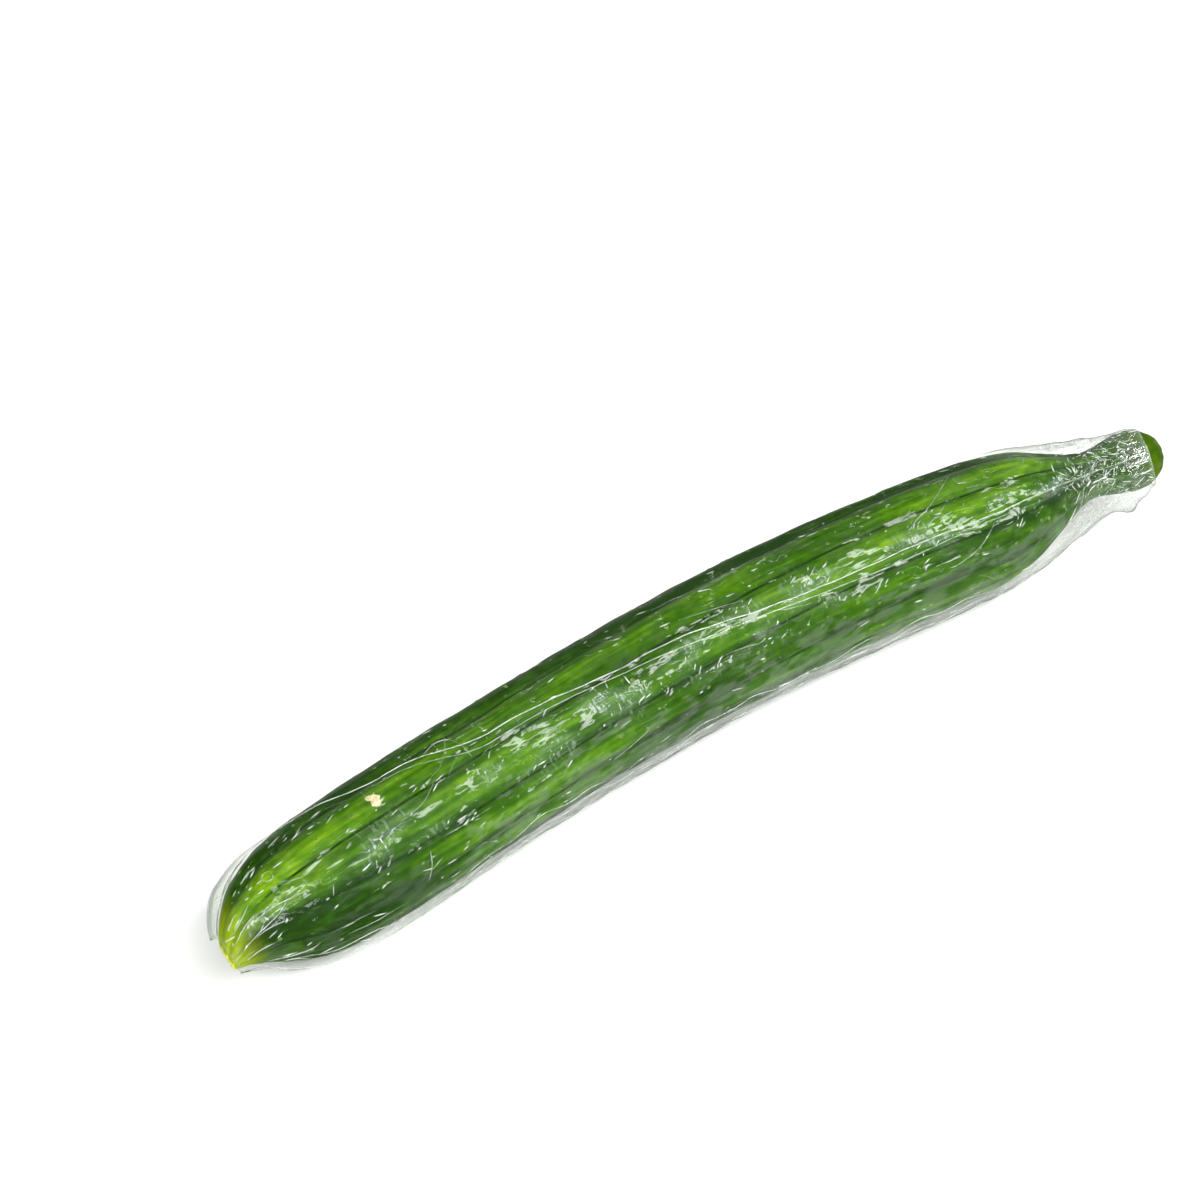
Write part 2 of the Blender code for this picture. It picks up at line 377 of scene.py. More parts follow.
def seam_angle(distance):
    """The angle of the film's seam, eased between the points of its path."""
    at, angle = SEAM_PATH[0]
    for next_at, next_angle in SEAM_PATH[1:]:
        angle = angle + (next_angle - angle) * smooth_step(at, next_at, distance)
        at = next_at
    return np.radians(angle)


def laid_straight(distance, radius, angle):
    """The same place on a cucumber with a straight axis, which the finishes read."""
    return np.stack((distance, radius * np.cos(angle), radius * np.sin(angle)), axis=-1)


def along_axis(distance):
    bend = (distance / LENGTH - 0.5) * 2 * HALF_BEND
    return np.stack((np.cos(bend), -np.sin(bend), np.zeros_like(bend)), axis=-1)


def grid_faces(rows, columns, closed):
    """Quads between closed rings of points. If closed, the last ring is joined to the first."""
    row = np.arange(rows if closed else rows - 1)[:, None] * columns
    after = (row + columns) % (rows * columns)
    column = np.arange(columns)[None, :]
    beside = (column + 1) % columns
    quads = np.stack((row + column, row + beside, after + beside, after + column), axis=-1)
    return quads.reshape(-1, 4).tolist()


def add_object(name, data):
    made = bpy.data.objects.new(name, data)
    bpy.context.scene.collection.objects.link(made)
    return made


def new_object(name, points, faces, edges=(), **fields):
    """A smooth-shaded mesh object, with these fields stored on its points."""
    mesh = bpy.data.meshes.new(name)
    mesh.from_pydata(points.reshape(-1, 3).tolist(), edges, faces)
    for field, values in fields.items():
        vector = values.shape[-1] == 3 and values.ndim == points.ndim
        store = mesh.attributes.new(field, "FLOAT_VECTOR" if vector else "FLOAT", "POINT")
        store.data.foreach_set("vector" if vector else "value", values.astype(np.float32).ravel())
    mesh.shade_smooth()
    return add_object(name, mesh)


def move_to_frame(points):
    return points + np.array(frame["shift"])


def belongs(piece, slot):
    """Has a piece move with the one body; the slot is not used."""
    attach(piece, "root")


def sunk_skin(around, rings):
    """Distance, radius and angle of the skin with its grooves and low bumps, on a grid of rings."""
    outline = Outline(FRUIT_OUTLINE)
    share, angle = np.meshgrid(np.linspace(0, 1, rings + 1), np.arange(around) / around * math.tau,
                               indexing="ij")
    distance, radius, lean, rise = outline.at(share)
    bumps = noise_at(place(distance, radius, angle), BUMP_CELL)
    sink = groove_depth(distance, radius, angle)
    sink += BUMP_RELIEF * (0.5 - 0.5 * bumps) * np.minimum(1.0, radius / 0.012)
    return distance, radius, angle, lean, rise, sink


def find_shift():
    """How far the frame's own centring moved it from the formulas' place."""
    distance, radius, angle, lean, rise, sink = sunk_skin(CAD_AROUND, CAD_RINGS)
    radius = np.maximum(radius - rise * sink, 0.0)
    radius[[0, -1]] = 0.0
    points = place(distance - lean * sink, radius, angle).reshape(-1, 3)
    low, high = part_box("fruit")
    middle = (points.min(0) + points.max(0)) / 2
    return ((low.x + high.x) / 2 - middle[0], (low.y + high.y) / 2 - middle[1],
            low.z - FILM_WALL - FLOOR_GAP)


class Wire:
    """A socket, whose arithmetic adds Math nodes."""

    def __init__(self, tree, socket):
        self.tree = tree
        self.socket = socket

    def worked(self, operation, *others):
        values = dict(enumerate((self, *others)))
        return self.tree.node("ShaderNodeMath", {"operation": operation}, values)

    def __add__(self, other):
        return self.worked("ADD", other)

    __radd__ = __add__

    def __mul__(self, other):
        return self.worked("MULTIPLY", other)

    __rmul__ = __mul__

    def __sub__(self, other):
        return self.worked("SUBTRACT", other)

    def __rsub__(self, other):
        return self.worked("MULTIPLY", -1.0).worked("ADD", other)

    def __pow__(self, other):
        return self.worked("POWER", other)

    def at_most(self, other):
        return self.worked("MINIMUM", other)

    def at_least(self, other):
        return self.worked("MAXIMUM", other)

    def size(self):
        return self.worked("ABSOLUTE")


class Tree:
    """A node tree under construction."""

    def __init__(self, tree):
        self.tree = tree

    def node(self, kind, settings=None, values=None, output=0):
        """Adds a node: its settings first, then its sockets' values or links."""
        made = self.tree.nodes.new(kind)
        for name, value in (settings or {}).items():
            setattr(made, name, value)
        for key, value in (values or {}).items():
            self.set(made.inputs[key], value)
        return Wire(self, made.outputs[output])

    def set(self, socket, value):
        if isinstance(value, Wire):
            self.tree.links.new(value.socket, socket)
        elif socket.type == "RGBA":
            socket.default_value = (*value, 1.0)
        else:
            socket.default_value = value

    def scaled(self, vector, scale):
        return self.node("ShaderNodeVectorMath", {"operation": "MULTIPLY"}, {0: vector, 1: scale})

    def length(self, vector):
        return self.node("ShaderNodeVectorMath", {"operation": "LENGTH"}, {0: vector},
                         output="Value")

    def part(self, vector, axis):
        return self.node("ShaderNodeSeparateXYZ", {}, {0: vector}, output=axis)


class Finish(Tree):
    """A material under construction."""

    def __init__(self, name):
        self.material = bpy.data.materials.new(name)
        self.material.use_nodes = True
        super().__init__(self.material.node_tree)
        self.tree.nodes.clear()

    def field(self, name, output="Fac"):
        return self.node("ShaderNodeAttribute", {"attribute_name": name}, output=output)

    def own_place(self):
        """The point in the object's own space."""
        return self.node("ShaderNodeTexCoord", output="Object")

    def grain(self, vector, along, across, detail=2.0, distortion=0.0):
        """Smooth noise from 0 to 1, so many cells a metre along the axis and across it."""
        return self.node("ShaderNodeTexNoise", {},
                         {"Vector": self.scaled(vector, (along, across, across)), "Scale": 1.0,
                          "Detail": detail, "Distortion": distortion})

    def cell_edges(self, vector, along, across):
        """0 on the borders between cells, rising into them."""
        return self.node("ShaderNodeTexVoronoi", {"feature": "DISTANCE_TO_EDGE"},
                         {"Vector": self.scaled(vector, (along, across, across)), "Scale": 1.0},
                         output="Distance")

    def ease(self, value, low, high, start=0.0, end=1.0):
        """start below low, end above high and a smooth change between."""
        return self.node("ShaderNodeMapRange", {"interpolation_type": "SMOOTHSTEP"},
                         {"Value": value, "From Min": low, "From Max": high,
                          "To Min": start, "To Max": end}, output="Result")

    def fade(self, value, low, high):
        return self.ease(value, low, high, 1.0, 0.0)

    def blend(self, share, first, second):
        """A colour between two, mixed by share."""
        return self.node("ShaderNodeMix", {"data_type": "RGBA", "clamp_factor": True},
                         {0: share, 6: first, 7: second}, output=2)

    def ramp(self, value, stops):
        made = self.tree.nodes.new("ShaderNodeValToRGB")
        ramp = made.color_ramp
        while len(ramp.elements) < len(stops):
            ramp.elements.new(0.5)
        for element, (position, colour) in zip(ramp.elements, stops):
            element.position = position
            element.color = (*colour, 1.0)
        self.set(made.inputs[0], value)
        return Wire(self, made.outputs[0])

    def bump(self, height, strength=1.0):
        """A normal tilted by a height in millimetres."""
        return self.node("ShaderNodeBump", {},
                         {"Height": height, "Distance": 0.001, "Strength": strength})

    def mixed(self, share, first, second):
        """A shader between two."""
        return self.node("ShaderNodeMixShader", {}, {0: share, 1: first, 2: second})

    def facing(self):
        """0 where the surface faces the eye and 1 where it turns edge-on."""
        return self.node("ShaderNodeLayerWeight", {}, {"Blend": 0.5}, output="Facing")

    def solid(self, colour, roughness, **sockets):
        """Ends the finish as an opaque one. Other sockets are named with _ for each space."""
        given = {name.replace("_", " "): value for name, value in sockets.items()}
        return self.done(self.node("ShaderNodeBsdfPrincipled", {},
                                   {"Base Color": colour, "Roughness": roughness, **given}))

    def done(self, shader):
        end = self.tree.nodes.new("ShaderNodeOutputMaterial")
        self.tree.links.new(shader.socket, end.inputs["Surface"])
        return self.material


class Rule(Tree):
    """A Geometry Nodes tree under construction, with named inputs."""

    KINDS = {float: "NodeSocketFloat", int: "NodeSocketInt"}

    def __init__(self, name, settings, finish):
        self.given = {**settings, "Finish": finish}
        super().__init__(bpy.data.node_groups.new(name, "GeometryNodeTree"))
        face = self.tree.interface
        face.new_socket("Base", in_out="INPUT", socket_type="NodeSocketGeometry")
        for title, value in self.given.items():
            face.new_socket(title, in_out="INPUT",
                            socket_type=self.KINDS.get(type(value), "NodeSocketMaterial"))
        face.new_socket("Made", in_out="OUTPUT", socket_type="NodeSocketGeometry")
        inlet = self.tree.nodes.new("NodeGroupInput")
        self.inputs = {socket.name: Wire(self, socket) for socket in inlet.outputs if socket.name}

    def field(self, name, kind="FLOAT"):
        return self.node("GeometryNodeInputNamedAttribute", {"data_type": kind}, {"Name": name})

    def random(self, low, high, seed):
        return self.node("FunctionNodeRandomValue", {}, {2: low, 3: high, 8: seed}, output=1)

    def scatter(self, density, shape, scale, spin):
        """Copies of a shape on the base: laid along the axis, then spun about the normal."""
        spread = self.node("GeometryNodeDistributePointsOnFaces", {},
                           {"Mesh": self.inputs["Base"], "Density": density,
                            "Seed": self.inputs["Seed"]})
        normal = Wire(self, spread.socket.node.outputs["Normal"])
        stood = self.node("FunctionNodeAxesToRotation",
                          {"primary_axis": "Z", "secondary_axis": "X"},
                          {0: normal, 1: self.field("axis_way", "FLOAT_VECTOR")})
        turned = self.node("FunctionNodeAxisAngleToRotation", {},
                           {"Axis": (0.0, 0.0, 1.0), "Angle": spin})
        stood = self.node("FunctionNodeRotateRotation", {"rotation_space": "LOCAL"},
                          {0: stood, 1: turned})
        return self.node("GeometryNodeInstanceOnPoints", {},
                         {"Points": spread, "Instance": shape, "Rotation": stood, "Scale": scale})

    def grow(self, name, made, base):
        """Ends the tree, runs it on the base and returns the result as a plain mesh object."""
        real = self.node("GeometryNodeRealizeInstances", {}, {"Geometry": made})
        smooth = self.node("GeometryNodeSetShadeSmooth", {}, {"Geometry": real})
        coated = self.node("GeometryNodeSetMaterial", {},
                           {"Geometry": smooth, "Material": self.inputs["Finish"]})
        outlet = self.tree.nodes.new("NodeGroupOutput")
        self.tree.links.new(coated.socket, outlet.inputs["Made"])
        modifier = base.modifiers.new(name, "NODES")
        modifier.node_group = self.tree
        for item in self.tree.interface.items_tree:
            if item.in_out == "INPUT" and item.name in self.given:
                modifier[item.identifier] = self.given[item.name]
        graph = bpy.context.evaluated_depsgraph_get()
        mesh = bpy.data.meshes.new_from_object(base.evaluated_get(graph), depsgraph=graph,
                                               preserve_all_data_layers=True)
        base.modifiers.remove(modifier)
        if not mesh.polygons:
            raise RuntimeError(name + " came out empty")
        mesh.name = name
        return add_object(name, mesh)


class SkinSettings(bpy.types.PropertyGroup):
    """Colours and relief of the fruit's skin."""

    # The deep green is the colour painted shade takes the skin to, in its grooves and on its far
    # side
    deep_green: bpy.props.FloatVectorProperty(
        name="Deep green", description="Colour in the grooves and on the shaded side",
        subtype="COLOR", size=3, min=0.0, max=1.0, default=(0.008, 0.034, 0.001))
    mid_green: bpy.props.FloatVectorProperty(
        name="Mid green", description="Main colour of the skin",
        subtype="COLOR", size=3, min=0.0, max=1.0, default=(0.030, 0.098, 0.002))
    bright_green: bpy.props.FloatVectorProperty(
        name="Bright green", description="Colour along the crests of the lobes",
        subtype="COLOR", size=3, min=0.0, max=1.0, default=(0.080, 0.198, 0.004))
    lime: bpy.props.FloatVectorProperty(
        name="Lime", description="Colour of the pale streaks and of the blossom end",
        subtype="COLOR", size=3, min=0.0, max=1.0, default=(0.235, 0.380, 0.010))
    roughness: bpy.props.FloatProperty(
        name="Roughness", description="How dull the waxy skin is",
        subtype="FACTOR", min=0.0, max=1.0, default=0.42)
    warts: bpy.props.IntProperty(
        name="Warts", description="Number of low warts on the skin", min=0, max=1000, default=190)
    pores: bpy.props.FloatProperty(
        name="Pores", description="Spine scars for each square metre of the lobes' crests",
        min=0.0, max=60000.0, default=26000.0)
    pore_size: bpy.props.FloatProperty(
        name="Pore size", description="Width of a spine scar's low mound",
        subtype="DISTANCE", unit="LENGTH", min=0.0002, max=0.003, default=0.0009)
    scar_size: bpy.props.FloatProperty(
        name="Scar size", description="Length of the corky scar near the blossom end",
        subtype="DISTANCE", unit="LENGTH", min=0.001, max=0.01, default=0.0050)


class FilmSettings(bpy.types.PropertyGroup):
    """Haze, gloss and folds of the shrink film."""

    haze: bpy.props.FloatProperty(
        name="Haze", description="How milky the taut film is",
        subtype="FACTOR", min=0.0, max=1.0, default=0.003)
    gloss_roughness: bpy.props.FloatProperty(
        name="Gloss roughness", description="How soft the film's reflections are",
        subtype="FACTOR", min=0.0, max=1.0, default=0.04)
    ripple: bpy.props.FloatProperty(
        name="Ripple", description="Height of the fine ripples across the film, in millimetres",
        min=0.0, max=1.0, default=0.40)
    # The creases' white is partly painted glint
    creases: bpy.props.FloatProperty(
        name="Creases", description="Sharp little creases for each square metre of crumpled film",
        min=0.0, max=500000.0, default=150000.0)
    crease_length: bpy.props.FloatProperty(
        name="Crease length", description="Length of a usual crease",
        subtype="DISTANCE", unit="LENGTH", min=0.0005, max=0.02, default=0.0052)
    folds: bpy.props.IntProperty(
        name="Folds", description="Number of long thin folds, besides the seam",
        min=0, max=500, default=150)
    fold_width: bpy.props.FloatProperty(
        name="Fold width", description="Width of the seam's welded bead",
        subtype="DISTANCE", unit="LENGTH", min=0.0001, max=0.002, default=0.00032)


class StudioSettings(bpy.types.PropertyGroup):
    """Lights, floor and camera."""

    key_power: bpy.props.FloatProperty(
        name="Key power", description="Power of the large softbox above",
        subtype="POWER", unit="POWER", min=0.0, max=1000.0, default=21.0)
    back_power: bpy.props.FloatProperty(
        name="Back power", description="Power of the long thin light behind",
        subtype="POWER", unit="POWER", min=0.0, max=1000.0, default=2.0)
    side_power: bpy.props.FloatProperty(
        name="Side power", description="Power of the softbox past the blossom end",
        subtype="POWER", unit="POWER", min=0.0, max=1000.0, default=5.5)
    fill: bpy.props.FloatProperty(
        name="Fill", description="Strength of the even light from all sides",
        min=0.0, max=5.0, default=0.31)
    lens: bpy.props.FloatProperty(
        name="Lens", description="Focal length of the camera",
        unit="CAMERA", min=10.0, max=300.0, default=102.0)


def skin_finish(settings):
    """Green skin with paler crests, grooves darkened with painted shade, lengthwise streaks and a
    yellow blossom end. Painted shade darkens its far upper side, a band at its front, its lower
    part and the front of its blossom end; painted light brightens a band along its top.
    """
    f = Finish("cucumber_skin")
    straight = f.field("straight", "Vector")
    along = f.part(straight, 0)
    valley, patches, shade = map(f.field, ("valley", "patches", "shade"))
    radius = f.length(f.scaled(straight, (0.0, 1.0, 1.0)))
    streaks = f.grain(straight, 48.0, 620.0, detail=3.0)
    mottle = f.grain(straight, 330.0, 420.0, detail=3.0)
    # The tone falls with the painted shade field and with painted shade in the grooves, and rises
    # with the field's painted light
    tone = (0.50 + patches * 0.34 + (streaks - 0.5) * 0.85 + (mottle - 0.5) * 0.40
            + f.fade(along, 0.0, 0.085) * 0.18 - shade * 0.30 - valley * (0.12 + patches * 0.08))
    colour = f.ramp(tone, ((0.12, settings.deep_green), (0.42, settings.mid_green),
                           (0.68, settings.bright_green), (0.95, settings.lime)))
    # A thin dark line along the bottom of each groove: painted shade
    painted_groove_shade = f.ease(valley + (streaks - 0.5) * 0.05, 0.962, 0.992) * f.ease(along, 0.004, 0.02)
    colour = f.blend(painted_groove_shade * f.ease(mottle, 0.3, 0.5, 0.55, 1.0), colour, PAINTED_GROOVE_SHADE)
    ribs = f.fade(along, 0.006, 0.040) * f.fade(valley, 0.05, 0.55)
    # The lime ribs fade where the painted shade lies
    ribs = ribs * f.ease(streaks, 0.35, 0.6, 0.15, 0.6) * (1.0 - shade * 0.8).at_least(0.0)
    colour = f.blend(ribs, colour, RIB_LIME)
    colour = f.blend(f.fade(along, 0.002, 0.011) * 0.85, colour, TIP_YELLOW)
    blossom_face = f.fade(along, 0.003, 0.005)
    rim = f.ease(radius, 0.0022, 0.0028) * f.fade(radius, 0.0032, 0.0040)
    colour = f.blend(rim * blossom_face, colour, RIM_YELLOW)
    heart = f.fade(radius, 0.0014, 0.0024)
    colour = f.blend(heart * blossom_face * 0.8, colour, HEART_GREEN)
    colour = f.blend(f.ease(along, 0.284, 0.300, 1.0, 0.62), settings.deep_green, colour)
    knob_green = f.blend(f.ease(f.grain(straight, 160.0, 240.0), 0.35, 0.65), *KNOB_GREENS)
    colour = f.blend(f.ease(along, 0.311, 0.3225) * 0.8, colour, knob_green)
    stem_face = f.ease(along, 0.3250, 0.3255)
    colour = f.blend(stem_face * f.fade(radius, 0.0029, 0.0034), colour, CUT_EDGE)
    cut = stem_face * f.fade(radius, 0.0024, 0.0030)
    fibres = f.grain(straight, 300.0, 2200.0)
    colour = f.blend(cut, colour, f.blend(fibres, *CUT_FIBRES))
    normal = f.bump(streaks * 0.10 + mottle * 0.12 + cut * fibres * 0.3, strength=0.6)
    rough = settings.roughness + (mottle - 0.5) * 0.2 + cut * 0.3
    return f.solid(colour, rough, Normal=normal, Specular_IOR_Level=0.02)


def make_skin(settings):
    """The fruit's skin on the frame's formulas, with its low warts as well."""
    distance, radius, angle, lean, rise, sink = sunk_skin(SKIN_AROUND, SKIN_RINGS)
    fine = noise_at(laid_straight(distance, radius, angle), 0.0032, 0.35)
    sink += SKIN_GRAIN * fine * smooth_step(0.004, 0.012, radius)
    random = np.random.default_rng(11)
    for _wart in range(settings.warts):
        at, around = random.uniform(0.012, 0.300), random.uniform(0, math.tau)
        keep = 1.0 - groove(np.array(at), np.array(around))
        size = random.uniform(0.0009, 0.0019)
        near = np.abs(distance[:, 0] - at) < 4 * size
        off = turn(angle[near], around) * radius[near]
        reach = ((distance[near] - at) / (1.5 * size)) ** 2 + (off / size) ** 2
        sink[near] -= WART_HEIGHT * keep * np.exp(-reach)
    distance = distance - lean * sink
    radius = np.maximum(radius - rise * sink, 0.0)
    radius[[0, -1]] = 0.0
    points = place(distance, radius, angle)
    points[..., 2] = np.maximum(points[..., 2], FILM_WALL + FLOOR_GAP)
    points = move_to_frame(points)
    rings = points[1:-1]
    straight = laid_straight(distance, radius, angle)
    valley = groove(distance, angle)
    crest = (1.0 - valley) ** 3 * smooth_step(0.010, 0.016, distance)
    side = side_of(angle)
    low_side = smooth_step(110, 138, side) * fall(260, 300, side)
    fields = {"straight": straight, "valley": valley, "axis_way": along_axis(distance),
              "crest": crest * fall(0.290, 0.300, distance),
              "patches": noise_at(straight, 0.0095, 0.12),
              # shade: painted shade on the far upper side, in a band at the front, over the lower
              # part and at the blossom end's front, less painted light in a band along the top
              "shade": 1.45 * band(angle, *SHADED_SIDE) - 0.40 * band(angle, *PAINTED_LIGHT_BAND)
              + 0.5 * band(angle, *PAINTED_DARK_BAND) + 0.9 * low_side * fall(0.025, 0.075, distance)
              + 0.45 * smooth_step(156, 190, side)}
    inner = (SKIN_RINGS - 1) * SKIN_AROUND
    faces = grid_faces(SKIN_RINGS - 1, SKIN_AROUND, closed=False)
    last = inner - SKIN_AROUND
    for column in range(SKIN_AROUND):
        beside = (column + 1) % SKIN_AROUND
        faces.append([inner, beside, column])
        faces.append([inner + 1, last + column, last + beside])
    flat = {name: np.concatenate((field[1:-1].reshape(inner, -1), field[0, :1].reshape(1, -1),
                                  field[-1, :1].reshape(1, -1))).squeeze()
            for name, field in fields.items()}
    points = np.concatenate((rings.reshape(-1, 3), points[0, :1], points[-1, :1]))
    skin = new_object("cucumber_skin", points, faces, **flat)
    skin.data.materials.append(skin_finish(settings))
    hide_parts("fruit")
    belongs(skin, SKIN_SLOT)


def pore_finish():
    """A pale green mound with a dark prick in its middle."""
    f = Finish("spine_scar")
    middle = f.field("middle")
    tint = f.grain(f.own_place(), 260.0, 260.0)
    mound = f.blend(f.ease(tint, 0.35, 0.65), *MOUND_GREENS)
    colour = f.blend(f.fade(middle, 0.40, 0.65), mound, PRICK)
    return f.solid(colour, 0.45)


def make_pores(settings, skin):
    """Low mounds with a dark prick, where the spines of the young fruit fell off."""
    rule = Rule("skin_pores", {"Density": settings.pores, "Size": settings.pore_size, "Seed": 5},
                pore_finish())
    ball = rule.node("GeometryNodeMeshUVSphere", {}, {"Segments": 8, "Rings": 6, "Radius": 0.5})
    across = rule.length(rule.scaled(rule.node("GeometryNodeInputPosition"), (2.0, 2.0, 0.0)))
    ball = rule.node("GeometryNodeStoreNamedAttribute", {},
                     {"Geometry": ball, "Name": "middle", "Value": across})
    size = rule.inputs["Size"] * rule.random(0.5, 1.2, 2)
    scale = rule.node("ShaderNodeCombineXYZ", {}, {0: size * 1.3, 1: size, 2: size * 0.35})
    made = rule.scatter(rule.inputs["Density"] * rule.field("crest"), ball, scale,
                        rule.random(-0.3, 0.3, 3))
    belongs(rule.grow("skin_pores", made, skin), SKIN_SLOT)


def scar_finish():
    """Dry cream cork with brown cracks."""
    f = Finish("corky_scar")
    cork = f.grain(f.own_place(), 1500.0, 1500.0, detail=3.0)
    crack = f.fade(f.cell_edges(f.own_place(), 1100.0, 1100.0), 0.02, 0.12)
    colour = f.blend(crack * 0.5, f.blend(f.ease(cork, 0.35, 0.65), *CORKS), CORK_CRACK)
    return f.solid(colour, 0.7, Normal=f.bump(cork * 0.3 - crack * 0.1))


def make_scar(settings):
    """The two-lobed corky scar near the blossom end, half sunk in the skin."""
    mesh = bmesh.new()
    bmesh.ops.create_icosphere(mesh, subdivisions=4, radius=1.0)
    ball = np.array([vertex.co for vertex in mesh.verts])
    faces = [[vertex.index for vertex in face.verts] for face in mesh.faces]
    mesh.free()
    lobes = []
    for ahead, aside, long, wide, swing in SCAR_LOBES:
        lumps = 1.0 + 0.22 * noise_at(ball + 5.0 * long, 0.55)
        along, across, up = (ball * (long, wide, 0.18) * lumps[:, None]).T
        lobes.append((ahead + along * math.cos(swing) - across * math.sin(swing),
                      aside + along * math.sin(swing) + across * math.cos(swing), up))
    along, across, up = np.concatenate(lobes, axis=1) * settings.scar_size
    faces = faces + [[corner + len(ball) for corner in face] for face in faces]
    at, around = SCAR_PLACE
    outline = Outline(FRUIT_OUTLINE)
    radius = np.interp(at, *outline.points[FACE_POINTS:].T)
    points = place(at + along, radius - SCAR_SUNK + up, math.radians(around) + across / radius)
    scar = new_object("corky_scar", move_to_frame(points), faces)
    scar.data.materials.append(scar_finish())
    belongs(scar, SKIN_SLOT)


class CUCUMBER_OT_skin(bpy.types.Operator):
    """Makes the lobed green skin of the fruit"""

    bl_idname = "cucumber.skin"
    bl_label = "Skin"

    def execute(self, context):
        make_skin(context.scene.cucumber_skin)
        return {"FINISHED"}


class CUCUMBER_OT_pores(bpy.types.Operator):
    """Strews the skin with the small scars of its spines"""

    bl_idname = "cucumber.pores"
    bl_label = "Pores"

    def execute(self, context):
        make_pores(context.scene.cucumber_skin, context.scene.objects["cucumber_skin"])
        return {"FINISHED"}


class CUCUMBER_OT_scar(bpy.types.Operator):
    """Makes the corky scar near the blossom end"""

    bl_idname = "cucumber.scar"
    bl_label = "Scar"

    def execute(self, context):
        make_scar(context.scene.cucumber_skin)
        return {"FINISHED"}


def film_clear(f, haze, milk, gloss, rough, normal):
    """Clear film: see-through, with this much milky haze and a mirror gloss over it."""
    clear = f.node("ShaderNodeBsdfTransparent")
    milky = f.node("ShaderNodeBsdfDiffuse", {}, {"Color": milk, "Normal": normal})
    mirror = f.node("ShaderNodeBsdfGlossy", {}, {"Roughness": rough, "Normal": normal,
                                                  "Color": (1.0, 1.0, 1.0)})
    return f.mixed(gloss, f.mixed(haze, clear, milky), mirror)


def film_finish(settings):
    """Clear film: rippled and milky in patches on the body, a web of ridges at the neck. The
    patches, their white comb lines and a paler milk gather in the sheen band, as painted sheen.
    """
    f = Finish("shrink_film")
    straight = f.field("straight", "Vector")
    patch, loose, low, bridge, sheen, neck, flap = map(
        f.field, ("patch", "loose", "low", "bridge", "comb", "neck", "flap"))
    facing = f.facing()
    ripples = f.grain(straight, 1000.0, 360.0, detail=1.0)
    waves = f.grain(straight, 190.0, 330.0, detail=1.0)
    swell = f.grain(straight, 60.0, 130.0, detail=0.0)
    threads = f.grain(straight, 46.0, 900.0, detail=2.0)
    thread_line = f.ease(1.0 - (threads * 2.0 - 1.0).size(), 0.95, 0.99)
    comb = f.ease(ripples, 0.56, 0.66) * patch
    bend = f.grain(straight, 170.0, 300.0, detail=2.0, distortion=0.8)
    ridge = 1.0 - (bend * 2.0 - 1.0).size()
    ridge_line = f.ease(ridge, 0.955, 0.995)
    web = f.cell_edges(straight, 320.0, 760.0)
    web_line = f.fade(web, 0.0, 0.09) * f.ease(bend, 0.48, 0.60)
    line = (web_line * 0.8 + ridge_line).at_most(1.0) * neck
    height = (ripples * (patch * 1.2 + 0.25) * settings.ripple + waves * 1.1 + swell * 2.2
              + threads * 0.16 + loose * f.grain(straight, 160.0, 160.0, detail=1.0) * 0.5
              + neck * (ridge * 0.30 + ridge_line * 0.10 - web * 0.25))
    normal = f.bump(height)
    # Haze rises in the sheen band and in its patches, with white comb lines: painted sheen over the
    # film's own milkiness
    haze = (settings.haze + patch * 0.030 + sheen * (0.008 + patch * 0.022) + comb * 0.24
            + low * (0.016 + facing ** 4.0 * 0.80) + loose * 0.02 + neck * 0.010 + line * 0.20
            + thread_line * (0.015 + patch * 0.14) + f.field("rim") * 0.12 + flap * 0.42
            + bridge * facing ** 2.2 * 0.5)
    haze = (haze * (1.0 + facing ** 3.0)).at_most(0.8)
    dull = f.ease(f.grain(straight, 110.0, 240.0, detail=2.0), 0.42, 0.58)
    shown = 0.06 + 0.94 * (dull + neck).at_most(1.0)
    # The film's gloss is cut by painted shade on the far side and at the blossom end's lower front
    gloss = (0.047 + 0.20 * facing ** 5.0) * f.field("painted_shade_gloss") * shown + f.field("knob_sheen") * 0.24
    rough = settings.gloss_roughness + patch * 0.03
    # The paler milk in the sheen band is painted sheen
    milk = f.blend(loose, f.blend(sheen, MILK, PAINTED_SHEEN_MILK), SLACK_MILK)
    milk = f.blend(line, f.blend(flap, milk, GREY_MILK), PALE_MILK)
    milk = f.blend(facing ** 1.5 * (low + bridge).at_most(1.0), milk, EDGE_MILK)
    return f.done(film_clear(f, haze, milk, gloss, rough, normal))


def lining_finish():
    """The film's inner face: clear, with a little cloud where it is loose."""
    f = Finish("film_lining")
    cloud = f.field("loose") * 0.03 + f.field("neck") * 0.01 + f.field("rim") * 0.15
    milky = f.node("ShaderNodeBsdfDiffuse", {}, {"Color": MILK})
    return f.done(f.mixed(cloud, f.node("ShaderNodeBsdfTransparent"), milky))


def crease_finish(name, haze, glint, fade):
    """A sharp fold of film, whitened and glossy. On the little creases, which gather where glints
    fall, the white stands partly for painted glints.
    """
    f = Finish(name)
    straight = f.field("straight", "Vector")
    broken = f.ease(f.grain(straight, 330.0, 330.0, detail=2.0), 0.38, 0.58, 0.15, 1.0)
    broken = broken * f.ease(f.grain(straight, 75.0, 120.0), 0.38, 0.60, fade, 1.0)
    normal = f.bump(broken * 0.05)
    return f.done(film_clear(f, broken * haze, PALE_MILK, glint, 0.12, normal))


